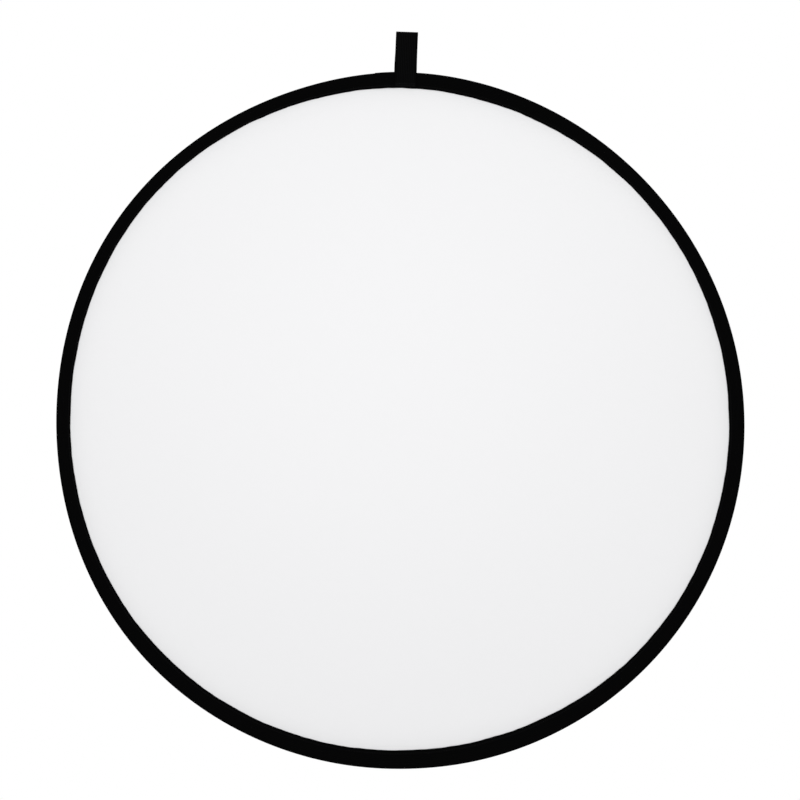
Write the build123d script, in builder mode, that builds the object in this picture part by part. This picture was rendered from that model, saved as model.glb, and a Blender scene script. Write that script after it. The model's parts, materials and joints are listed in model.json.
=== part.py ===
"""A collapsible reflector disc that hangs by its webbing loop.

Two round fabric panels are stretched inside a spring steel hoop. The hoop lies in a casing of
binding tape, which is folded over the edge of the panels and sewn through them. The disc is
upright: its white front faces -Y, its silver back faces +Y. The origin is the axis of a hook's
wire in the fold of the loop.

The real disc bends all over as it is folded. Here it is cut into five upright strips, which
turn on four fold lines. The edges of the strips are bevelled, so that they clear each other at
full fold.
"""

import os
from math import radians, tan

from build123d import *

os.makedirs("parts", exist_ok=True)

# Driving dimensions, mm and degrees
DISC_RADIUS = 400.0
LOOP_RISE = 51.5  # from the rim to the top of the loop
LOOP_OFFSET = 8.0  # the loop is sewn on this far to the right of the disc's centre line
WEBBING_WIDTH = 25.0
WEBBING = 1.3  # thickness
EYE_RADIUS = 2.6  # inside of the fold
LOOP_SWING = 80.0  # each way
LOOP_PIVOT_RISE = 14.0  # from the rim to where the loop bends
DRAW_IN_RISE = 4.0  # over the rim, the loop's two plies draw in to the width of the fold
LAY_GAP = 0.05  # between the webbing and what it lies on
OUTER_BEND = 0.3  # a bend of the webbing's outer face is this far from the inner face's
PAST_TAPE = 1.0  # the webbing's ends reach this far past the tape's inner edge

FOLD_LINES = (75.0, 225.0)  # distances from the disc's centre line
FOLD_STEP = 45.0  # turn at each fold line, each way
CLEARANCE = 0.3  # between strips, at the neutral plane

PANEL = 0.4  # one fabric ply
PANEL_RADIUS = 388.0
TAPE = 0.5
TAPE_INNER_RADIUS = 382.5
SEAM_RADIUS = 385.0
THREAD = 0.3
CASING_DEPTH = 7.2  # over the hoop, front to back
CASING_FLAT = 5.9  # width of the casing's flat front and back, with its rounded corner
CASING_CORNER = 0.6

BAND_WIDTH = 5.0
BAND_THICKNESS = 0.8
BAND_OUTER_RADIUS = 399.0
BAND_BUTT_GAP = 0.4
FERRULE_WALL = 0.3
FERRULE_LENGTH = 40.0
CRIMP_RADIUS = 0.9
CRIMP_DEPTH = 0.15
CRIMP_PITCH = 1.0  # degrees round the hoop
WRAP = 0.15
WRAP_LENGTH = 48.0

TACK_ROWS = (383.4, 386.6)  # radii
TACK_STITCHES = 9
TACK_PITCH = 2.5
TACK_STITCH = (1.9, 0.4)  # length, width

# Places that follow from them
disc_x = -LOOP_OFFSET
disc_z = EYE_RADIUS + WEBBING - LOOP_RISE - DISC_RADIUS
pivot_z = disc_z + DISC_RADIUS + LOOP_PIVOT_RISE
disc_axis = Axis((disc_x, 0, disc_z), (0, 1, 0))
section_plane = Plane(origin=(disc_x, 0, disc_z))  # x is the radius and y the depth
facing_front = Plane(origin=(disc_x, 0, disc_z), x_dir=(1, 0, 0), z_dir=(0, -1, 0))
facing_back = Plane(origin=(disc_x, 0, disc_z), x_dir=(-1, 0, 0), z_dir=(0, 1, 0))
tape_face = PANEL + TAPE
casing_face = CASING_DEPTH / 2
SIDES = {"front": -1, "back": 1}


def save(piece, name):
    """Names a finished piece and writes its STEP file."""
    piece.label = name
    export_step(piece, f"parts/{name}.step")


def strip(left, right):
    """The space between two upright lines, with bevelled edges, as far as the rim goes."""
    bevel = tan(radians(FOLD_STEP / 2))
    depth = 2 * CASING_DEPTH
    height = 3 * DISC_RADIUS
    ends = [(left + CLEARANCE, bevel), (right - CLEARANCE, -bevel)]
    (near, near_slope), (far, far_slope) = ends
    with BuildPart() as space:
        with BuildSketch(section_plane.offset(-height / 2)):
            Polygon(
                (near, 0),
                (near + depth * near_slope, -depth),
                (far + depth * far_slope, -depth),
                (far, 0),
                (far + depth * far_slope, depth),
                (near + depth * near_slope, depth),
                align=None,
            )
        extrude(amount=height)
    return space.part


past_the_rim = 1.2 * DISC_RADIUS
inner_line, outer_line = FOLD_LINES
strips = {
    "outer_left": strip(-past_the_rim, -outer_line),
    "inner_left": strip(-outer_line, -inner_line),
    "centre": strip(-inner_line, inner_line),
    "inner_right": strip(inner_line, outer_line),
    "outer_right": strip(outer_line, past_the_rim),
}

# Fabric panels: two round plies that meet at the neutral plane
for side, plane in {"front": facing_front, "back": facing_back}.items():
    for place, space in strips.items():
        with BuildPart() as panel:
            with BuildSketch(plane):
                Circle(PANEL_RADIUS)
            extrude(amount=PANEL)
            add(space, mode=Mode.INTERSECT)
        save(panel.part, f"{side}_panel_{place}")

# Rim binding: tape folded over the panels' edge, with the casing for the hoop in its fold
casing_inside = casing_face - TAPE
flat_start = DISC_RADIUS - CASING_FLAT
binding_outside = [
    (TAPE_INNER_RADIUS, tape_face),
    (PANEL_RADIUS, tape_face),
    (flat_start, casing_face),
    (DISC_RADIUS, casing_face),
]
binding_inside = [
    (TAPE_INNER_RADIUS, PANEL),
    (PANEL_RADIUS + CLEARANCE, PANEL),
    (flat_start + CLEARANCE, casing_inside),
    (DISC_RADIUS - TAPE, casing_inside),
]
for place, space in strips.items():
    with BuildPart() as rim_binding:
        with BuildSketch(section_plane):
            with BuildLine():
                Polyline(
                    *binding_outside,
                    *[(r, -y) for r, y in reversed(binding_outside)],
                    *[(r, -y) for r, y in binding_inside],
                    *reversed(binding_inside),
                    close=True,
                )
            face = make_face()
            fillet(face.vertices().group_by(Axis.X)[-1], radius=CASING_CORNER)
        revolve(axis=disc_axis)
        add(space, mode=Mode.INTERSECT)
    save(rim_binding.part, f"rim_binding_{place}")

# Spring band: flat steel, on edge, bent into a hoop whose ends butt at the bottom
band_inner_radius = BAND_OUTER_RADIUS - BAND_THICKNESS
for place, space in strips.items():
    with BuildPart() as spring_band:
        with BuildSketch(facing_front):
            Circle(BAND_OUTER_RADIUS)
            Circle(band_inner_radius, mode=Mode.SUBTRACT)
            with Locations((0, -BAND_OUTER_RADIUS)):
                Rectangle(BAND_BUTT_GAP, 4 * BAND_THICKNESS, mode=Mode.SUBTRACT)
        extrude(amount=BAND_WIDTH / 2, both=True)
        add(space, mode=Mode.INTERSECT)
    save(spring_band.part, f"spring_band_{place}")


def sleeve(length, inner_wall, wall):
    """A tube round the band's joint at the bottom of the hoop, which follows its bend."""
    inner_radii = (band_inner_radius - inner_wall, BAND_OUTER_RADIUS + inner_wall)
    outer_radii = (inner_radii[0] - wall, inner_radii[1] + wall)
    inner_depth = BAND_WIDTH / 2 + inner_wall
    outer_depth = inner_depth + wall
    with BuildSketch(section_plane) as section:
        for (low, high), depth, mode in (
            (outer_radii, outer_depth, Mode.ADD),
            (inner_radii, inner_depth, Mode.SUBTRACT),
        ):
            with Locations(((low + high) / 2, 0)):
                Rectangle(high - low, 2 * depth, mode=mode)
    revolve(section.sketch, axis=disc_axis)
    with Locations((disc_x, 0, disc_z - DISC_RADIUS)):
        Box(length, 2 * CASING_DEPTH, DISC_RADIUS, mode=Mode.INTERSECT)


# Ferrule: a steel sleeve crimped over the two ends of the band
ferrule_outside = BAND_OUTER_RADIUS + FERRULE_WALL
from_below = Plane(origin=(disc_x, 0, disc_z), x_dir=(0, 0, -1), z_dir=(0, -1, 0))
with BuildPart() as ferrule:
    sleeve(FERRULE_LENGTH, 0, FERRULE_WALL)
    with BuildSketch(from_below):
        for first in (-2.5 * CRIMP_PITCH, 1.5 * CRIMP_PITCH):
            with PolarLocations(
                ferrule_outside + CRIMP_RADIUS - CRIMP_DEPTH, 2, first, 2 * CRIMP_PITCH
            ):
                Circle(CRIMP_RADIUS)
    extrude(amount=CASING_DEPTH, both=True, mode=Mode.SUBTRACT)
save(ferrule.part, "ferrule")

# Ferrule wrap: cloth tape round the ferrule, past both of its ends
with BuildPart() as ferrule_wrap:
    sleeve(WRAP_LENGTH, FERRULE_WALL, WRAP)
save(ferrule_wrap.part, "ferrule_wrap")

# Rim seam: one line of lockstitch, the needle thread on the front, the bobbin thread behind
for thread, plane in {"needle": facing_front, "bobbin": facing_back}.items():
    for place, space in strips.items():
        with BuildPart() as rim_thread:
            with BuildSketch(plane.offset(tape_face)):
                Circle(SEAM_RADIUS + THREAD / 2)
                Circle(SEAM_RADIUS - THREAD / 2, mode=Mode.SUBTRACT)
            extrude(amount=THREAD)
            add(space, mode=Mode.INTERSECT)
        save(rim_thread.part, f"rim_{thread}_thread_{place}")

# Hanging loop: webbing folded over a hook, down to where it bends on its sewn ends
swing_slope = tan(radians(LOOP_SWING / 2))
eye_outside = EYE_RADIUS + WEBBING
inner_end_z = pivot_z + CLEARANCE + EYE_RADIUS * swing_slope
outer_end_z = pivot_z + CLEARANCE + eye_outside * swing_slope
with BuildPart() as hang_loop:
    with BuildSketch(Plane.YZ):
        with BuildLine():
            Polyline((EYE_RADIUS, 0), (EYE_RADIUS, inner_end_z), (eye_outside, outer_end_z),
                     (eye_outside, 0))
            CenterArc((0, 0), eye_outside, 0, 180)
            Polyline((-eye_outside, 0), (-eye_outside, outer_end_z),
                     (-EYE_RADIUS, inner_end_z), (-EYE_RADIUS, 0))
            CenterArc((0, 0), EYE_RADIUS, 0, 180)
        make_face()
    extrude(amount=WEBBING_WIDTH / 2, both=True)
save(hang_loop.part, "hang_loop")

# Sewn ends of the loop: they straddle the casing and are tacked down on the binding. Each ply
# is drawn along its inner face, from its cut end outwards to the bend of the loop
over_thread = tape_face + THREAD + LAY_GAP
over_casing = casing_face + LAY_GAP
over_rim = DISC_RADIUS + CLEARANCE
webbing_end_radius = TAPE_INNER_RADIUS - PAST_TAPE
bend_radius = DISC_RADIUS + LOOP_PIVOT_RISE - CLEARANCE
casing_slope = (casing_face - tape_face) / (flat_start - PANEL_RADIUS)
slope_end = PANEL_RADIUS + (over_casing - over_thread) / casing_slope
drawn_in = DISC_RADIUS + DRAW_IN_RISE
ply_inside = [
    (webbing_end_radius, over_thread),
    (PANEL_RADIUS, over_thread),
    (slope_end, over_casing),
    (over_rim, over_casing),
    (drawn_in, EYE_RADIUS),
    (bend_radius - EYE_RADIUS * swing_slope, EYE_RADIUS),
]
ply_outside = [
    (webbing_end_radius, over_thread + WEBBING),
    (PANEL_RADIUS - OUTER_BEND, over_thread + WEBBING),
    (slope_end - OUTER_BEND, over_casing + WEBBING),
    (over_rim + OUTER_BEND, over_casing + WEBBING),
    (drawn_in + OUTER_BEND, eye_outside),
    (bend_radius - eye_outside * swing_slope, eye_outside),
]
with BuildPart() as hang_loop_sewn_ends:
    with BuildSketch(section_plane):
        for side in SIDES.values():
            with BuildLine():
                Polyline(
                    *[(r, side * y) for r, y in ply_inside],
                    *[(r, side * y) for r, y in reversed(ply_outside)],
                    close=True,
                )
            make_face()
    revolve(axis=disc_axis)
    with Locations((0, 0, disc_z + DISC_RADIUS)):
        Box(WEBBING_WIDTH, 4 * CASING_DEPTH, DISC_RADIUS, mode=Mode.INTERSECT)
save(hang_loop_sewn_ends.part, "hang_loop_sewn_ends")

# Bar tack: two rows of stitches across each end of the loop
for thread, side in {"needle": -1, "bobbin": 1}.items():
    with BuildPart() as tack_thread:
        for row in TACK_ROWS:
            with Locations((0, side * (over_thread + WEBBING + THREAD / 2), disc_z + row)):
                with GridLocations(TACK_PITCH, 1, TACK_STITCHES, 1):
                    Box(TACK_STITCH[0], THREAD, TACK_STITCH[1])
    save(tack_thread.part, f"loop_{thread}_thread")
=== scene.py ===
"""The looks of a collapsible reflector disc, hung from its webbing loop.

Every length is in metres, in the part's own frame: the white front faces -Y and Z is up.
"""

import json
import math

import bmesh
import bpy
from mathutils import Matrix, Vector, noise
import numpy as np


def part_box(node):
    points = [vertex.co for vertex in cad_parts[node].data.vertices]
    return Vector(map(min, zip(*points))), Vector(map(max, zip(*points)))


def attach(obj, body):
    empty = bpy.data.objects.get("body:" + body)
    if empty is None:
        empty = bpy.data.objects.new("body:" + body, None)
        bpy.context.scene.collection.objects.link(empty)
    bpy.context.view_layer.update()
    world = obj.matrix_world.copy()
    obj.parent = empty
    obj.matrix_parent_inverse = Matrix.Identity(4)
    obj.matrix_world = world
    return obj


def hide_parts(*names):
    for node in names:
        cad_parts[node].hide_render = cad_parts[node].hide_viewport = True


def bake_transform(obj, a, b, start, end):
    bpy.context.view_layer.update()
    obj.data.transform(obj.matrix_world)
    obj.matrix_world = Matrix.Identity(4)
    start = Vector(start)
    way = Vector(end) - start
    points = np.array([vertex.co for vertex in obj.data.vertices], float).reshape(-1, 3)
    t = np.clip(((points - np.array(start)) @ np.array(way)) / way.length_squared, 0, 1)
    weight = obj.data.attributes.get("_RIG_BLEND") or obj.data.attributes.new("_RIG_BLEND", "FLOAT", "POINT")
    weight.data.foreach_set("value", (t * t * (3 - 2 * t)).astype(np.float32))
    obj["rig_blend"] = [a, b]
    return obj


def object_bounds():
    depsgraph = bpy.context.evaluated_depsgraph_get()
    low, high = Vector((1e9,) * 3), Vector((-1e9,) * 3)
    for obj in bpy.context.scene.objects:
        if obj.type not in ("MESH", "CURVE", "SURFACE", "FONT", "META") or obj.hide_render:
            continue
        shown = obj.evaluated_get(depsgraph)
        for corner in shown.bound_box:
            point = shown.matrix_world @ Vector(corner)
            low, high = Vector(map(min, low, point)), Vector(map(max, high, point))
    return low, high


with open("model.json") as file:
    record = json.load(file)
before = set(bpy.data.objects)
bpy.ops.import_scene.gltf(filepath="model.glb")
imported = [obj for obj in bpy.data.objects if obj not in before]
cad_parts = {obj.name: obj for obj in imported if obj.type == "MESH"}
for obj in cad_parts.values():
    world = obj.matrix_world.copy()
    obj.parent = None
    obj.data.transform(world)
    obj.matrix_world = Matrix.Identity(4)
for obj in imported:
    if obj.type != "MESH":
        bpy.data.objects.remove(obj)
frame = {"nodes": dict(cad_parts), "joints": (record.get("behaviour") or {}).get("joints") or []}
cad_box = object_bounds()
MM = 0.001


# --- The place -----------------------------------------------------------------------------
# The disc hangs in an all white studio, over a pale floor. The camera looks at it square on
# from far off, a little above the disc's centre.
def srgb(code):
    """An sRGB hex colour such as 'e8e9ea' as linear red, green, blue and alpha."""
    values = [int(code[i:i + 2], 16) / 255 for i in (0, 2, 4)]
    linear = [v / 12.92 if v <= 0.04045 else ((v + 0.055) / 1.055) ** 2.4 for v in values]
    return (*linear, 1.0)


def add(tree, kind, inputs=None, **settings):
    """Adds a node with its settings. An input is given a value, or another node's output. It is
    named, or numbered on a node that has several of the same name."""
    made = tree.nodes.new(kind)
    for name, value in settings.items():
        setattr(made, name, value)
    for name, value in (inputs or {}).items():
        if isinstance(value, bpy.types.NodeSocket):
            tree.links.new(value, made.inputs[name])
        else:
            made.inputs[name].default_value = value
    return made


def new_material(name):
    """A material with its node tree and its surface shader."""
    made = bpy.data.materials.new(name)
    made.use_nodes = True
    return made, made.node_tree, made.node_tree.nodes["Principled BSDF"]


casing_lo, casing_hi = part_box("rim_binding_centre")
centre = (casing_lo + casing_hi) / 2
radius = (casing_hi.z - casing_lo.z) / 2

PICTURE_WIDTH = 923.8 * MM  # of what the camera sees at the disc
AIM = Vector((0.7 * MM, 0, 25.9 * MM))  # from the disc's centre
LENS = 200  # millimetres, on a 36 mm sensor
camera_data = bpy.data.cameras.new("camera")
camera_data.lens = LENS
camera = bpy.data.objects.new("camera", camera_data)
distance = PICTURE_WIDTH * LENS / camera_data.sensor_width
camera.location = centre + AIM - Vector((0, distance, 0))
camera.rotation_euler = (math.radians(90), 0, 0)
bpy.context.scene.collection.objects.link(camera)
bpy.context.scene.camera = camera
bpy.context.scene.view_settings.view_transform = "Standard"

world = bpy.data.worlds.new("white_studio")
world.use_nodes = True
world.node_tree.nodes["Background"].inputs["Color"].default_value = (1, 1, 1, 1)
world.node_tree.nodes["Background"].inputs["Strength"].default_value = 1.0
bpy.context.scene.world = world

for name, place, size, power in (
    ("key_softbox", Vector((-0.02, -0.80, 0.17)), 0.5, 1.28),
    ("back_softbox", Vector((1.8, 2.4, 1.6)), 1.6, 14.0),
):
    light_data = bpy.data.lights.new(name, "AREA")
    light_data.size = size
    light_data.energy = power
    light = bpy.data.objects.new(name, light_data)
    light.location = centre + place
    light.rotation_mode = "QUATERNION"
    light.rotation_quaternion = (-place).to_track_quat("-Z", "Y")
    light.visible_camera = False
    bpy.context.scene.collection.objects.link(light)

FLOOR_DROP = 0.55  # below the disc
FLOOR_RADIUS = 3.0
made = bmesh.new()
bmesh.ops.create_circle(made, cap_ends=True, segments=96, radius=FLOOR_RADIUS)
bmesh.ops.translate(made, vec=(centre.x, 0, cad_box[0].z - FLOOR_DROP), verts=made.verts)
floor_mesh = bpy.data.meshes.new("floor")
made.to_mesh(floor_mesh)
made.free()
floor = bpy.data.objects.new("floor", floor_mesh)
bpy.context.scene.collection.objects.link(floor)
floor_paint, tree, shader = new_material("pale_matt_floor_paint")
shader.inputs["Base Color"].default_value = srgb("e4e4e4")
shader.inputs["Roughness"].default_value = 0.8
floor_mesh.materials.append(floor_paint)


# --- Spring band ---------------------------------------------------------------------------
# Flat spring steel on edge, blued by its heat treatment, bent into a hoop. It is hidden in the
# casing. The hoop isn't a true circle: the pull of the cloth leaves it a little out of round.
BAND_DEPTH = 5 * MM
BAND_THICKNESS = 0.8 * MM
BAND_ROUNDING = 0.15 * MM
BAND_INSET = 1.0 * MM
BAND_STEPS = 480
BUTT_GAP = 0.4 * MM  # between the band's ends, at the bottom
LOBES = (  # mm, how many round, degrees
    (2.1, 2, -13), (1.0, 3, -12), (0.7, 4, 38), (0.55, 5, 15), (0.25, 6, 5),
)
TOP_LIFT = (1.8 * MM, 13)  # the loop and the overlap lift the rim here, over so many degrees
TRUE_REACH = 9  # degrees, about the bottom, where the stiff ferrule keeps the hoop true
EVEN_INSET = 6.5 * MM  # the casing keeps its shape as far in as this, and then it spreads
TAPE_REACH = 18.1 * MM
REACH_LOBES = ((2.3, 1, 164), (1.4, 2, 5), (0.4, 3, 16), (0.4, 4, 9), (0.5, 5, 12))
REACH_WANDER = ((0.5 * MM, 13), (0.3 * MM, 42.9))  # height, and how many bumps per radian
SEAM_INSET = 15 * MM
PUCKER_START = (9 * MM, 13 * MM)  # inset: the casing is smooth, and the puckers grow here
LOOP_HOLDS = (14 * MM, 40 * MM)  # along the rim from the loop: flat up to here, free from there
FINE_PUCKER = (0.30 * MM, 34, 14 * MM)  # height, bumps per radian, and how far they reach
BROAD_PUCKER = (0.35 * MM, 11, 38 * MM)
LOOP_TURN = math.asin(-centre.x / radius)  # the loop is at x = 0
BLEND_HALF = 55 * MM  # the cloth bends this far to each side of a fold line
SHARPEST = math.radians(40)  # edges that turn by more aren't shaded smooth
CUT_SNAP = 0.01 * MM  # corners this near to a cut are moved onto it
fold_x = {j["child"]: j["pos_m"][0] for j in frame["joints"] if j["name"] != "loop_swing"}


def wave(turn, lobes):
    """The sum of some lobes round the rim. The turn is clockwise from the top, in radians."""
    return sum(a * MM * math.cos(n * (turn - math.radians(at))) for a, n, at in lobes)


def rim_radius(turn):
    """How far the rim's edge is from the centre."""
    from_top, from_bottom = (
        math.degrees(math.remainder(turn - start, math.tau)) for start in (0, math.pi)
    )
    lift, spread = TOP_LIFT
    free = 1 - math.exp(-((from_bottom / TRUE_REACH) ** 2))
    return radius + free * wave(turn, LOBES) + lift * math.exp(-((from_top / spread) ** 2))


def bumps_round(turn, height, bumps, start=(0, 0, 0)):
    """Uneven bumps round the rim, up and down by as much as the height."""
    around = Vector((math.cos(turn), math.sin(turn), 0))
    return height * noise.noise(around * bumps + Vector(start))


def tape_reach(turn):
    """How far the tape reaches in from the rim's edge, which wanders as it was sewn."""
    wander = sum(bumps_round(turn, height, bumps) for height, bumps in REACH_WANDER)
    return TAPE_REACH + wave(turn, REACH_LOBES) + wander


def rim_inset(turn, inset):
    """Where a part of the binding's section comes to lie: the flat part takes up the reach."""
    if inset <= EVEN_INSET:
        return inset
    share = (inset - EVEN_INSET) / (TAPE_REACH - EVEN_INSET)
    return EVEN_INSET + share * (tape_reach(turn) - EVEN_INSET)


def smooth_step(value, start, end):
    """From 0 at the start to 1 at the end, smoothly."""
    share = min(1, max(0, (value - start) / (end - start)))
    return share * share * (3 - 2 * share)


def pucker(turn, inset):
    """How far the seam draws the cloth out of its plane. It dies out away from the seam, in
    the casing, and under the loop's stiff ends."""
    from_loop = abs(radius * math.remainder(turn - LOOP_TURN, math.tau))
    free = smooth_step(inset, *PUCKER_START) * smooth_step(from_loop, *LOOP_HOLDS)
    past_seam = max(0, inset - SEAM_INSET)
    height, bumps, reach = FINE_PUCKER
    fine = bumps_round(turn, height, bumps) * math.exp(-past_seam / reach)
    height, bumps, reach = BROAD_PUCKER
    broad = bumps_round(turn, height, bumps, start=(7, 3, 0)) * math.exp(-past_seam / reach)
    return free * (fine + broad)


def on_rim(turn, inset, depth):
    """A point of the rim: inset from its edge, and depth from the disc's middle plane."""
    reach = rim_inset(turn, inset)
    out = rim_radius(turn) - reach
    depth += pucker(turn, reach)
    return Vector((centre.x + out * math.sin(turn), depth, centre.z + out * math.cos(turn)))


def turn_of(point):
    """The turn, clockwise from the top, of a point of a mesh that is still round."""
    return math.atan2(point.x - centre.x, point.z - centre.z)


def along_profile(profile):
    """The points of a profile of (inset, depth), each with its length along the profile."""
    run = 0.0
    for before, point in zip((profile[0], *profile), profile):
        run += math.dist(before, point)
        yield (*point, run)


def spun(profile, steps, first, last, closed):
    """A profile turned about the disc's axis, from one turn to another."""
    made = bmesh.new()
    length = made.verts.layers.float.new("length")
    verts = []
    for inset, depth, run in along_profile(profile):
        out = radius - inset
        at = (centre.x + out * math.sin(first), depth, centre.z + out * math.cos(first))
        verts.append(made.verts.new(at))
        verts[-1][length] = run
    edges = [made.edges.new(pair) for pair in zip(verts, verts[1:])]
    if closed:
        edges.append(made.edges.new((verts[-1], verts[0])))
    bmesh.ops.spin(
        made, geom=verts + edges, cent=centre, axis=(0, 1, 0), angle=last - first, steps=steps
    )
    bmesh.ops.recalc_face_normals(made, faces=made.faces)
    return made


def ringed(profile, steps):
    """A profile taken all round the disc's axis, as a row of rings that grow from each other."""
    made = bmesh.new()
    length = made.verts.layers.float.new("length")
    upright = Matrix.Translation(centre) @ Matrix.Rotation(math.pi / 2, 4, "X")
    ring = bmesh.ops.create_circle(made, segments=steps, radius=radius, matrix=upright)["verts"]
    edges = made.edges[:]
    for inset, depth, run in along_profile(profile):
        if run > 0:
            grown = bmesh.ops.extrude_edge_only(made, edges=edges)["geom"]
            ring = [g for g in grown if isinstance(g, bmesh.types.BMVert)]
            edges = [g for g in grown if isinstance(g, bmesh.types.BMEdge) and g.is_boundary]
        for vert in ring:
            turn = turn_of(vert.co)
            out = radius - inset
            vert.co = (centre.x + out * math.sin(turn), depth, centre.z + out * math.cos(turn))
            vert[length] = run
    bmesh.ops.recalc_face_normals(made, faces=made.faces)
    return made


def map_round(made):
    """Gives a spun mesh a UV map in metres: round the rim, and along the profile."""
    length = made.verts.layers.float["length"]
    uv = made.loops.layers.uv.new("UVMap")
    for face in made.faces:
        middle = turn_of(face.calc_center_median())
        for loop in face.loops:
            turn = middle + math.remainder(turn_of(loop.vert.co) - middle, math.tau)
            loop[uv].uv = (turn * radius, loop.vert[length])


def bend_to_rim(made):
    """Moves a spun mesh from the true circle to the real rim's shape."""
    for vert in made.verts:
        turn = turn_of(vert.co)
        out = math.hypot(vert.co.x - centre.x, vert.co.z - centre.z)
        vert.co = on_rim(turn, radius - out, vert.co.y)


def as_piece(name, made, material):
    """Makes a finished bmesh an object of the scene."""
    for face in made.faces:
        face.smooth = True
    for edge in made.edges:
        edge.smooth = edge.calc_face_angle(0) < SHARPEST
    mesh = bpy.data.meshes.new(name)
    made.to_mesh(mesh)
    made.free()
    mesh.materials.append(material)
    piece = bpy.data.objects.new(name, mesh)
    bpy.context.scene.collection.objects.link(piece)
    return piece


# Pieces that go all across the disc are cut in quarters: each reaches from the middle of one
# rigid strip to the middle of the next, and bends at the fold line between them.
quarters = []
for side, way in (("left", -1), ("right", 1)):
    near, far = (fold_x[f"{part}_{side}"] for part in ("inner", "outer"))
    between = (near + far) / 2
    beyond = centre.x + way * 2 * radius
    quarters += [
        {"name": f"mid_{side}", "low": centre.x, "high": between, "fold": near, "way": way,
         "bodies": ("centre", f"inner_{side}")},
        {"name": f"outer_{side}", "low": between, "high": beyond, "fold": far, "way": way,
         "bodies": (f"inner_{side}", f"outer_{side}")},
    ]


def bend_at_fold(piece, quarter, nodes):
    """Lets a quarter bend at its fold line. It replaces its two strips' CAD nodes."""
    start, end = (
        (quarter["fold"] + quarter["way"] * off, 0, centre.z) for off in (-BLEND_HALF, BLEND_HALF)
    )
    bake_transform(piece, *quarter["bodies"], start=start, end=end)
    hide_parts(*[f"{nodes}_{body}" for body in quarter["bodies"]])


def in_quarters(made, name, material, nodes):
    """Cuts a mesh in quarters and closes the cuts. They replace their strips' CAD nodes."""
    pieces = {}
    for quarter in quarters:
        part = made.copy()
        for at, outwards in ((quarter["low"], -1), (quarter["high"], 1)):
            cut = bmesh.ops.bisect_plane(
                part, geom=part.verts[:] + part.edges[:] + part.faces[:], dist=CUT_SNAP,
                plane_co=(at, 0, 0), plane_no=(outwards * quarter["way"], 0, 0), clear_outer=True,
            )["geom_cut"]
            edges = [e for e in cut if isinstance(e, bmesh.types.BMEdge) and e.is_boundary]
            bmesh.ops.holes_fill(part, edges=edges, sides=0)
        pieces[quarter["name"]] = as_piece(f"{name}_{quarter['name']}", part, material)
        bend_at_fold(pieces[quarter["name"]], quarter, nodes)
    made.free()
    return pieces


# Tempered spring steel, rolled: dark blue-grey, with long faint rolling lines 0.4 mm apart
blued_steel, tree, shader = new_material("blued_spring_steel")
coordinates = add(tree, "ShaderNodeTexCoord").outputs["UV"]
stretched = add(tree, "ShaderNodeMapping", {"Vector": coordinates, "Scale": (4, 2500, 1)})
lines = add(tree, "ShaderNodeTexNoise", {"Vector": stretched.outputs["Vector"], "Scale": 1.0})
tints = add(tree, "ShaderNodeValToRGB", {"Fac": lines.outputs["Fac"]})
tints.color_ramp.elements[0].color = srgb("2b3038")
tints.color_ramp.elements[1].color = srgb("525a66")
tree.links.new(tints.outputs["Color"], shader.inputs["Base Color"])
shader.inputs["Metallic"].default_value = 1.0
shader.inputs["Roughness"].default_value = 0.35

outer, inner = BAND_INSET, BAND_INSET + BAND_THICKNESS
half_band = BAND_DEPTH / 2
band_profile = [
    (outer, -half_band + BAND_ROUNDING),
    (outer, half_band - BAND_ROUNDING),
    (outer + BAND_ROUNDING, half_band),
    (inner - BAND_ROUNDING, half_band),
    (inner, half_band - BAND_ROUNDING),
    (inner, -half_band + BAND_ROUNDING),
    (inner - BAND_ROUNDING, -half_band),
    (outer + BAND_ROUNDING, -half_band),
]
half_gap = BUTT_GAP / 2 / radius
band = spun(band_profile, BAND_STEPS, half_gap - math.pi, math.pi - half_gap, closed=True)
map_round(band)
ends = [e for e in band.edges if e.is_boundary]
bmesh.ops.holes_fill(band, edges=ends, sides=0)
bend_to_rim(band)
in_quarters(band, "steel_band", blued_steel, "spring_band")


# --- Ferrule and its wrap ------------------------------------------------------------------
# A sleeve of zinc plated steel is crimped over the band's two ends at the bottom, and cloth
# tape is wound round it. Both are the CAD pieces, and are hidden in the casing.
def wave_scale(apart):
    """The scale of a wave texture whose ridges are so far apart, in metres. It has 20 ridges in
    tau metres at a scale of 1."""
    return math.tau / 20 / apart


# Zinc plate: pale, slightly blue, with a fine mottled spangle of about 1 mm
zinc, tree, shader = new_material("zinc_plated_steel")
coordinates = add(tree, "ShaderNodeTexCoord").outputs["Object"]
spangle = add(tree, "ShaderNodeTexVoronoi", {"Vector": coordinates, "Scale": 900.0})
tints = add(tree, "ShaderNodeValToRGB", {"Fac": spangle.outputs["Distance"]})
tints.color_ramp.elements[0].color = srgb("b4bac0")
tints.color_ramp.elements[1].color = srgb("c9cdd1")
tree.links.new(tints.outputs["Color"], shader.inputs["Base Color"])
shader.inputs["Metallic"].default_value = 1.0
shader.inputs["Roughness"].default_value = 0.4

# Gaffer tape: black plastic coated cotton, whose threads show through the coating
gaffer, tree, shader = new_material("black_cloth_tape")
coordinates = add(tree, "ShaderNodeTexCoord").outputs["Object"]
threads = add(tree, "ShaderNodeTexWave", {"Vector": coordinates, "Scale": wave_scale(0.8 * MM)})
bumps = add(tree, "ShaderNodeBump", {"Height": threads.outputs["Fac"], "Distance": 0.05 * MM})
tree.links.new(bumps.outputs["Normal"], shader.inputs["Normal"])
shader.inputs["Base Color"].default_value = srgb("101011")
shader.inputs["Roughness"].default_value = 0.5

for name, material in (("ferrule", zinc), ("ferrule_wrap", gaffer)):
    frame["nodes"][name].data.materials.clear()
    frame["nodes"][name].data.materials.append(material)


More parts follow.
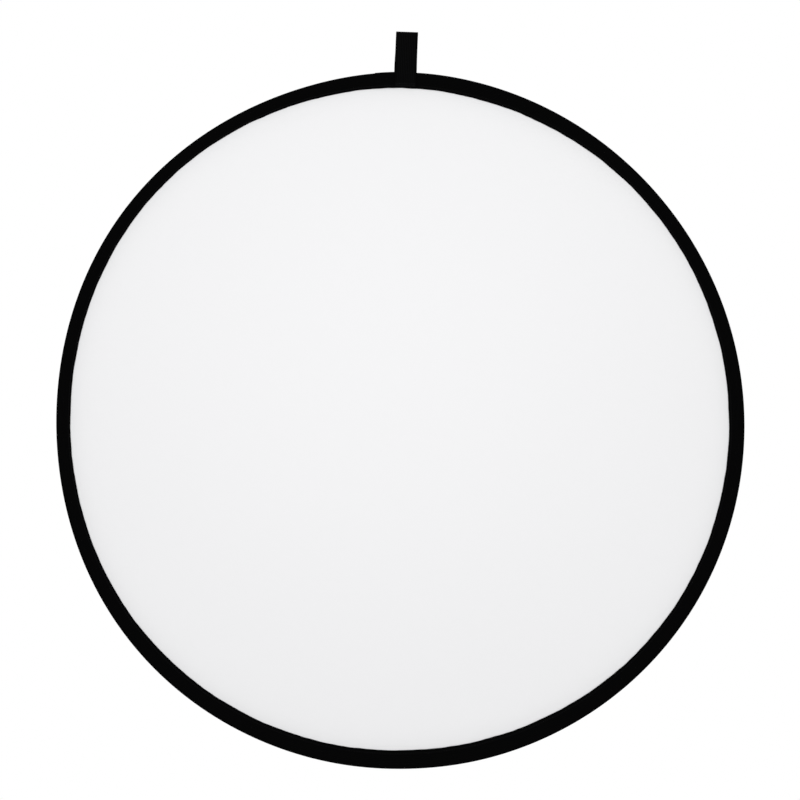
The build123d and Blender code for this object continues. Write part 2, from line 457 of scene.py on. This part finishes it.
# --- Fabric panels -------------------------------------------------------------------------
# Two plies, stretched by the hoop. The front is white nylon taffeta, the back is the same
# cloth laminated with silver film. The seam leaves a few slight puckers at their edge.
PLY = 0.24 * MM  # thick
PLY_GAP = 0.01 * MM  # from the middle plane to each ply
PANEL_INSET = 12 * MM  # the cloth ends this far inside the rim's edge
SLACK = (0.7 * MM, 0.17)  # the height and length of the slow waves that the stretch leaves
SLACK_SLICE = 1.2  # where in the noise those waves are taken from
PAINTED_SHADE_REACH = 9 * MM  # painted shade beside the tape, as if shaded by the raised casing; this far from it, a third
EVEN_OUT = 300 * MM  # the cloth is true inside this radius, and follows the rim further out
SPOKES = 720
HUB = 8 * MM  # the innermost ring
RINGS = ((200 * MM, 10 * MM), (340 * MM, 8 * MM), (radius - PANEL_INSET, 2.4 * MM))  # to, step
THINNED = ((200 * MM, 2), (100 * MM, 4), (50 * MM, 8), (25 * MM, 16))  # inside, one spoke in
A_HAIR = 0.1 * MM
DRAWN_THREADS = 0.6 * MM  # the threads are 0.15 mm apart, too fine to show
SWELLS_APART = 40 * MM  # in the silver film
CREASES_APART = 30 * MM
CREASES_BENT = 20 * MM  # they wander from straight by up to this
CREASED_PATCHES_APART = 70 * MM


def out_from_centre(vert):
    """How far a vertex is from the disc's axis."""
    return math.hypot(vert.co.x - centre.x, vert.co.z - centre.z)


def spoke_of(vert):
    """Which spoke of the round mesh a vertex is on."""
    return round(turn_of(vert.co) / math.tau * SPOKES) % SPOKES


def turn_outwards(made, face, outwards):
    """Turns all the faces of an open mesh round if this one doesn't face outwards."""
    if face.normal.dot(outwards) < 0:
        bmesh.ops.reverse_faces(made, faces=made.faces)


def fabric_panel(side):
    """One ply of cloth as a closed thin sheet, with its outer face to the front or the back."""
    outs = [HUB]
    for end, step in RINGS:
        start = outs[-1]
        steps = math.ceil((end - start) / step)
        outs += [start + (end - start) * (i + 1) / steps for i in range(steps)]
    made = ringed([(radius - out, side * (PLY_GAP + PLY)) for out in outs], SPOKES)
    for limit, kept in THINNED:
        gone = [
            e for e in made.edges
            if spoke_of(e.verts[0]) == spoke_of(e.verts[1]) and spoke_of(e.verts[0]) % kept
            and max(map(out_from_centre, e.verts)) < limit + A_HAIR
        ]
        bmesh.ops.dissolve_edges(made, edges=gone, use_verts=True)
    hub = [e for e in made.edges if e.is_boundary and out_from_centre(e.verts[0]) < 2 * HUB]
    middle = bmesh.ops.holes_fill(made, edges=hub, sides=0)["faces"]
    bmesh.ops.poke(made, faces=middle)
    bmesh.ops.recalc_face_normals(made, faces=made.faces)
    turn_outwards(made, next(iter(made.faces)), Vector((0, side, 0)))

    height, length = SLACK
    edge_out = radius - PANEL_INSET
    for vert in made.verts:
        turn, out = turn_of(vert.co), out_from_centre(vert)
        pull = smooth_step(out, EVEN_OUT, edge_out)
        shift = rim_radius(turn) - rim_inset(turn, PANEL_INSET) - edge_out
        wide = (out + pull * shift) / out if out > MM else 1
        x, z = (wide * (vert.co.x - centre.x), wide * (vert.co.z - centre.z))
        slow = (1 - pull) * height * noise.noise(Vector((x, z, SLACK_SLICE)) / length)
        vert.co.x, vert.co.z = centre.x + x, centre.z + z
        vert.co.y += slow + pucker(turn, rim_radius(turn) - math.hypot(x, z))
    bmesh.ops.solidify(made, geom=made.faces[:], thickness=PLY)
    # painted shade: how much the cloth is darkened beside the tape, falling off away from it
    painted_tape_shade = made.verts.layers.float.new("painted_tape_shade")
    for vert in made.verts:
        turn, out = turn_of(vert.co), out_from_centre(vert)
        from_tape = max(0, rim_radius(turn) - tape_reach(turn) - out)
        vert[painted_tape_shade] = math.exp(-from_tape / PAINTED_SHADE_REACH)
    uv = made.loops.layers.uv.new("UVMap")
    for face in made.faces:
        for loop in face.loops:
            loop[uv].uv = (loop.vert.co.x, loop.vert.co.z)
    return made


def weave(tree, shader, across, along, height):
    """Dents a surface like woven cloth. The distances between threads are in metres. Gives the
    pattern and its bump node."""
    coordinates = add(tree, "ShaderNodeTexCoord").outputs["UV"]
    warp = add(tree, "ShaderNodeTexWave", {"Vector": coordinates, "Scale": wave_scale(across)},
               bands_direction="X")
    weft = add(tree, "ShaderNodeTexWave", {"Vector": coordinates, "Scale": wave_scale(along)},
               bands_direction="Y")
    both = add(tree, "ShaderNodeMath", {0: warp.outputs["Fac"], 1: weft.outputs["Fac"]},
               operation="MULTIPLY")
    bumps = add(tree, "ShaderNodeBump", {"Height": both.outputs["Value"], "Distance": height})
    tree.links.new(bumps.outputs["Normal"], shader.inputs["Normal"])
    return both.outputs["Value"], bumps


# Nylon taffeta, bleached and calendered: an even soft white, whose threads barely show
taffeta, tree, shader = new_material("white_nylon_taffeta")
weave(tree, shader, DRAWN_THREADS, DRAWN_THREADS, 0.008 * MM)
# painted shade: the white is darkened beside the tape, as if shaded by the raised casing
painted_tape_shade = add(tree, "ShaderNodeAttribute", attribute_name="painted_tape_shade")
tints = add(tree, "ShaderNodeValToRGB", {"Fac": painted_tape_shade.outputs["Fac"]})
tints.color_ramp.elements[0].color = srgb("e9e9ea")
tints.color_ramp.elements[1].color = srgb("dfdfe0")
tree.links.new(tints.outputs["Color"], shader.inputs["Base Color"])
shader.inputs["Roughness"].default_value = 0.65
shader.inputs["Specular IOR Level"].default_value = 0.25
shader.inputs["Sheen Weight"].default_value = 0.05

# Silver film laminated on taffeta: a soft bright metal, broken by the fine creases that being
# folded and coiled has left in patches of it
silver, tree, shader = new_material("silver_film_on_taffeta")
coordinates = add(tree, "ShaderNodeTexCoord").outputs["UV"]
swells = add(tree, "ShaderNodeTexNoise", {"Vector": coordinates, "Scale": 1 / SWELLS_APART,
                                          "Detail": 4.0, "Roughness": 0.5, "Distortion": 0.6})
bent = add(tree, "ShaderNodeVectorMath", {0: swells.outputs["Color"],
                                          1: (CREASES_BENT, CREASES_BENT, 0),
                                          2: coordinates}, operation="MULTIPLY_ADD")
creases = add(tree, "ShaderNodeTexVoronoi", {"Vector": bent.outputs["Vector"],
                                             "Scale": 1 / CREASES_APART},
              feature="DISTANCE_TO_EDGE")
lines = add(tree, "ShaderNodeMapRange", {"Value": creases.outputs["Distance"], "From Max": 0.07,
                                         "To Min": 0.12, "To Max": 0.0})
here = add(tree, "ShaderNodeTexNoise", {"Vector": coordinates, "Scale": 1 / CREASED_PATCHES_APART,
                                        "Detail": 2.0})
patches = add(tree, "ShaderNodeMapRange", {"Value": here.outputs["Fac"], "From Min": 0.42,
                                           "From Max": 0.62})
ridges = add(tree, "ShaderNodeMath", {0: lines.outputs["Result"], 1: patches.outputs["Result"]},
             operation="MULTIPLY")
crinkle = add(tree, "ShaderNodeMath", {0: swells.outputs["Fac"], 1: ridges.outputs["Value"]},
              operation="ADD")
_, threads = weave(tree, shader, DRAWN_THREADS, DRAWN_THREADS, 0.01 * MM)
folds = add(tree, "ShaderNodeBump", {"Height": crinkle.outputs["Value"], "Distance": 2.5 * MM})
tree.links.new(folds.outputs["Normal"], threads.inputs["Normal"])
gloss = add(tree, "ShaderNodeMapRange", {"Value": swells.outputs["Fac"], "From Min": 0.3,
                                         "From Max": 0.7, "To Min": 0.20, "To Max": 0.34})
tree.links.new(gloss.outputs["Result"], shader.inputs["Roughness"])
shades = add(tree, "ShaderNodeValToRGB", {"Fac": swells.outputs["Fac"]})
shades.color_ramp.elements[0].position = 0.3
shades.color_ramp.elements[0].color = srgb("c3c5c9")
shades.color_ramp.elements[1].position = 0.7
shades.color_ramp.elements[1].color = srgb("d0d2d5")
FIRST_COLOUR, SECOND_COLOUR, MIXED_COLOUR = 6, 7, 2  # sockets of a mix node
# painted shade: the crease lines in the creased patches are darkened in the base colour
crease_shade = add(tree, "ShaderNodeMix", {"Factor": ridges.outputs["Value"],
                                   FIRST_COLOUR: shades.outputs["Color"],
                                   SECOND_COLOUR: srgb("a6a9ae")}, data_type="RGBA")
tree.links.new(crease_shade.outputs[MIXED_COLOUR], shader.inputs["Base Color"])
shader.inputs["Metallic"].default_value = 1.0


for name, side, material, slot, nodes in (
    ("white_ply", -1, taffeta, "white_fabric", "front_panel"),
    ("silver_ply", 1, silver, "silver_fabric", "back_panel"),
):
    for quarter, piece in in_quarters(fabric_panel(side), name, material, nodes).items():
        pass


# --- Rim binding ---------------------------------------------------------------------------
# One length of black woven polyester tape, folded over the edge of both plies. The hoop lies in
# its fold. Its two ends overlap at the top, to the left of the loop.
TAPE = 0.5 * MM  # thick
TAPE_SECTION = (  # one half of its outer face, from the sewn edge: inset and depth, mm
    (18.1, 0.76), (16.6, 0.75), (15, 0.72), (13.8, 0.78), (12.5, 0.95), (10.5, 1.5), (8.5, 2.25),
    (6.5, 2.95), (4.5, 3.4), (2.5, 3.52), (1.0, 3.3), (0.3, 2.7), (0.0, 1.9), (0.0, 0.0),
)
OVERLAP = (-36 * MM, -12.9 * MM)  # from the loop's centre
OVERLAP_LIFT = 0.52 * MM
OVERLAP_STEPS = 12


def fold_tape(made, lift=0.0):
    """Lays a round mesh of the tape's outer face on the rim, lifted off what is under it, and
    gives it its thickness."""
    outermost = max(made.faces, key=lambda f: out_from_centre(f.verts[0]))
    outwards = outermost.calc_center_median() - Vector((centre.x, 0, centre.z))
    turn_outwards(made, outermost, outwards)
    map_round(made)
    bend_to_rim(made)
    made.normal_update()
    for vert in made.verts:
        vert.co += lift * vert.normal
    bmesh.ops.solidify(made, geom=made.faces[:], thickness=TAPE)


# Woven polyester tape: a dull black with fine ribs across it. The ribs are 0.4 mm apart, and
# are drawn at 0.9 mm
woven_tape, tree, shader = new_material("black_polyester_tape")
ribs, _ = weave(tree, shader, 0.9 * MM, 1.6 * MM, 0.12 * MM)
tints = add(tree, "ShaderNodeValToRGB", {"Fac": ribs})
tints.color_ramp.elements[0].color = srgb("020202")
tints.color_ramp.elements[1].color = srgb("0a0a0b")
tree.links.new(tints.outputs["Color"], shader.inputs["Base Color"])
shader.inputs["Roughness"].default_value = 0.8
shader.inputs["Specular IOR Level"].default_value = 0.015

front = [(inset * MM, -depth * MM) for inset, depth in TAPE_SECTION]
back = [(inset, -depth) for inset, depth in reversed(front[:-1])]
made = ringed(front + back, SPOKES)
fold_tape(made)
tape = in_quarters(made, "rim_tape", woven_tape, "rim_binding")

overlap_start, overlap_end = (LOOP_TURN + along / radius for along in OVERLAP)
made = spun(front + back, OVERLAP_STEPS, overlap_start, overlap_end, closed=False)
fold_tape(made, OVERLAP_LIFT)
overlap = as_piece("rim_tape_overlap", made, woven_tape)
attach(overlap, "centre")


# --- Rim seam ------------------------------------------------------------------------------
# One line of lockstitch goes through the tape and both plies, all round, and passes under the
# ends of the loop: the needle thread shows on the front, and the bobbin thread on the back.
STITCH_PITCH = 3.0 * MM
STITCH = Vector((2.6, 0.5, 0.4)) * MM  # length, width, thickness
SEAM_DEPTH = 0.78 * MM  # of the stitches' middles
WEBBING_WIDTH = 25 * MM

made = bmesh.new()
bmesh.ops.create_uvsphere(made, u_segments=8, v_segments=5, radius=0.5)
bulge = bpy.data.meshes.new("bulge_of_thread")
made.to_mesh(bulge)
made.free()


def add_stitch(made, middle, along, out, size=STITCH):
    """One stitch between two needle holes: a short bulge of thread, along a line of sewing."""
    turned = Matrix((along, out.cross(along), out)).transposed().to_4x4()
    shape = bulge.copy()
    shape.transform(Matrix.Translation(middle) @ turned @ Matrix.Diagonal((*size, 1)))
    made.from_mesh(shape)
    bpy.data.meshes.remove(shape)


# Bonded polyester thread: black, with a slight satin gloss from its filaments, whose turns are
# 0.4 mm apart
thread, tree, shader = new_material("black_polyester_thread")
coordinates = add(tree, "ShaderNodeTexCoord").outputs["Object"]
twist = add(tree, "ShaderNodeTexWave", {"Vector": coordinates, "Scale": wave_scale(0.4 * MM)},
            bands_direction="DIAGONAL")
bumps = add(tree, "ShaderNodeBump", {"Height": twist.outputs["Fac"], "Distance": 0.03 * MM})
tree.links.new(bumps.outputs["Normal"], shader.inputs["Normal"])
shader.inputs["Base Color"].default_value = srgb("0b0b0c")
shader.inputs["Roughness"].default_value = 0.5
shader.inputs["Specular IOR Level"].default_value = 0.05

stitches = round(math.tau * (radius - SEAM_INSET) / STITCH_PITCH)
for name, side in (("needle", -1), ("bobbin", 1)):
    out = Vector((0, side, 0))
    for quarter in quarters:
        made = bmesh.new()
        for i in range(stitches):
            turn = math.tau * (i + 0.5) / stitches
            on_overlap = overlap_start < math.remainder(turn, math.tau) < overlap_end
            depth = SEAM_DEPTH + on_overlap * OVERLAP_LIFT
            middle = on_rim(turn, SEAM_INSET, side * depth)
            along = Vector((math.cos(turn), 0, -math.sin(turn)))
            under_loop = abs(middle.x) < WEBBING_WIDTH / 2 + STITCH_PITCH and middle.z > centre.z
            share = (middle.x - quarter["low"]) / (quarter["high"] - quarter["low"])
            if 0 <= share < 1 and not under_loop:
                add_stitch(made, middle, along, out)
        seam = as_piece(f"rim_seam_{name}_{quarter['name']}", made, thread)
        bend_at_fold(seam, quarter, f"rim_{name}_thread")


# --- Hanging loop --------------------------------------------------------------------------
# One piece of 25 mm polypropylene webbing, folded double over the rim. Its ends lie on the tape
# at the front and the back, and stop at the tape's inner edge.
WEBBING = 1.3 * MM  # thick
PIVOT_REACH = 10 * MM  # it bends this far above and below the joint at its root
EYE_OUTSIDE = 3.9 * MM  # half the loop's depth at its fold
FOLD_RISE = 3.5 * MM  # the fold is pressed a little flat
FOLD_STEPS = 8
LEAN = 0.036  # it isn't sewn on quite upright
BACK_SHIFT = -0.6 * MM  # its ends aren't quite in line
WAVER = (0.2 * MM, 14 * MM)  # how far its sides waver, and the length of that
WEBBING_COLUMNS = (-12.7, -12.2, -6.0, 0.0, 6.0, 12.2, 12.7)  # mm; the rounding draws in 0.2
WEBBING_LAY = (  # its outer face on the rim, from its end: rise over the rim's edge, depth; mm
    (-16.8, 2.18), (-16.2, 2.18), (-14.5, 2.18), (-12.3, 2.36), (-10.2, 3.05), (-8.3, 3.85),
    (-6.5, 4.5), (-4.5, 4.88), (-2.5, 5.0), (-0.5, 5.0), (1.5, 4.8), (4.0, 4.3), (8.0, 3.98),
    (13.0, 3.9), (20.0, 3.9), (27.0, 3.9), (34.0, 3.9),
)

rim_top = on_rim(LOOP_TURN, 0, 0).z


def lean(point):
    """Where a point of the upright loop comes to lie: turned about the middle of its height,
    and shifted a little at its back end."""
    rise = point.z - rim_top / 2
    shift = BACK_SHIFT * smooth_step(point.y, 0, EYE_OUTSIDE) * smooth_step(-point.z, 0, -rim_top)
    return Vector((point.x + LEAN * rise + shift, point.y, point.z - LEAN * point.x))


lay = [(depth * MM, rim_top + rise * MM) for rise, depth in WEBBING_LAY]
fold = [math.pi * i / FOLD_STEPS for i in range(FOLD_STEPS + 1)]
path = (  # y and z of its outer face, from its front end over the fold to its back end
    [(-y, z) for y, z in lay]
    + [(-EYE_OUTSIDE * math.cos(turn), FOLD_RISE * math.sin(turn)) for turn in fold]
    + list(reversed(lay))
)
runs = [0.0]
for before, after in zip(path, path[1:]):
    runs.append(runs[-1] + math.dist(before, after))

columns, rows = len(WEBBING_COLUMNS) - 1, len(path) - 1
made = bmesh.new()
bmesh.ops.create_grid(made, x_segments=columns, y_segments=rows, size=0.5, calc_uvs=True)
uv = made.loops.layers.uv.verify()
for face in made.faces:
    for loop in face.loops:
        column, row = (round((c + 0.5) * n) for c, n in zip(loop.vert.co, (columns, rows)))
        loop[uv].uv = (WEBBING_COLUMNS[column] * MM, runs[row])
for vert in made.verts:
    column, row = (round((c + 0.5) * n) for c, n in zip(vert.co, (columns, rows)))
    y, z = path[row]
    height, length = WAVER
    waver = height * noise.noise(Vector((runs[row] / length, 0, 4)))
    vert.co = lean(Vector((WEBBING_COLUMNS[column] * MM + waver, y, z)))
made.normal_update()
top_face = max(made.faces, key=lambda f: f.calc_center_median().z)
turn_outwards(made, top_face, Vector((0, 0, 1)))
bmesh.ops.solidify(made, geom=made.faces[:], thickness=WEBBING)

# Polypropylene webbing: black and dull, with thick ribs, 1.2 mm apart, across its length, and
# painted shade along each side, where its edges round away from the light
webbing, tree, shader = new_material("black_polypropylene_webbing")
ribs, _ = weave(tree, shader, 2.0 * MM, 1.2 * MM, 0.3 * MM)
coordinates = add(tree, "ShaderNodeTexCoord").outputs["UV"]
place = add(tree, "ShaderNodeSeparateXYZ", {"Vector": coordinates})
from_middle = add(tree, "ShaderNodeMath", {0: place.outputs["X"]}, operation="ABSOLUTE")
# painted shade: darker along each side, where the webbing's edges round away from the light
edge_shade = add(tree, "ShaderNodeMapRange", {"Value": from_middle.outputs["Value"],
                                            "From Min": 10.2 * MM, "From Max": 11.0 * MM,
                                            "To Min": 1.0, "To Max": 0.35})
shade = add(tree, "ShaderNodeMath", {0: ribs, 1: edge_shade.outputs["Result"]},
            operation="MULTIPLY")
tints = add(tree, "ShaderNodeValToRGB", {"Fac": shade.outputs["Value"]})
tints.color_ramp.elements[0].color = srgb("020202")
tints.color_ramp.elements[1].color = srgb("0f0f10")
tree.links.new(tints.outputs["Color"], shader.inputs["Base Color"])
shader.inputs["Roughness"].default_value = 0.7
shader.inputs["Specular IOR Level"].default_value = 0.02

loop = as_piece("hanging_loop", made, webbing)
rounding = loop.modifiers.new("rounding", "SUBSURF")
rounding.levels = rounding.render_levels = 2
pivot = next(j["pos_m"] for j in frame["joints"] if j["name"] == "loop_swing")
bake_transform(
    loop, "loop", "centre",
    start=(0, 0, pivot[2] + PIVOT_REACH), end=(0, 0, pivot[2] - PIVOT_REACH),
)
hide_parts("hang_loop", "hang_loop_sewn_ends")


# --- Bar tack ------------------------------------------------------------------------------
# Two rows of close zigzag stitches go across each end of the loop, through the webbing, the
# tape and both plies: needle thread on the front, bobbin thread on the back.
TACK_ROWS = (-13.0 * MM, -15.3 * MM)  # rise over the rim's edge
TACK_HALF_WIDTH = 11.2 * MM
TACK_PITCH = 0.9 * MM
TACK_STITCH = Vector((2.0, 0.5, 0.45)) * MM
TACK_SLANT = math.radians(68)
TACK_DEPTH = 2.24 * MM

steps = round(2 * TACK_HALF_WIDTH / TACK_PITCH)
for name, side in (("loop_needle_thread", -1), ("loop_bobbin_thread", 1)):
    made = bmesh.new()
    for rise in TACK_ROWS:
        for i in range(steps + 1):
            x = -TACK_HALF_WIDTH + 2 * TACK_HALF_WIDTH * i / steps
            slant = TACK_SLANT if i % 2 else -TACK_SLANT
            middle = lean(Vector((x, side * TACK_DEPTH, rim_top + rise)))
            along = Vector((math.cos(slant), 0, math.sin(slant)))
            add_stitch(made, middle, along, Vector((0, side, 0)), TACK_STITCH)
    tack = as_piece(name.replace("loop", "bar_tack"), made, thread)
    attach(tack, "centre")
    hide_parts(name)
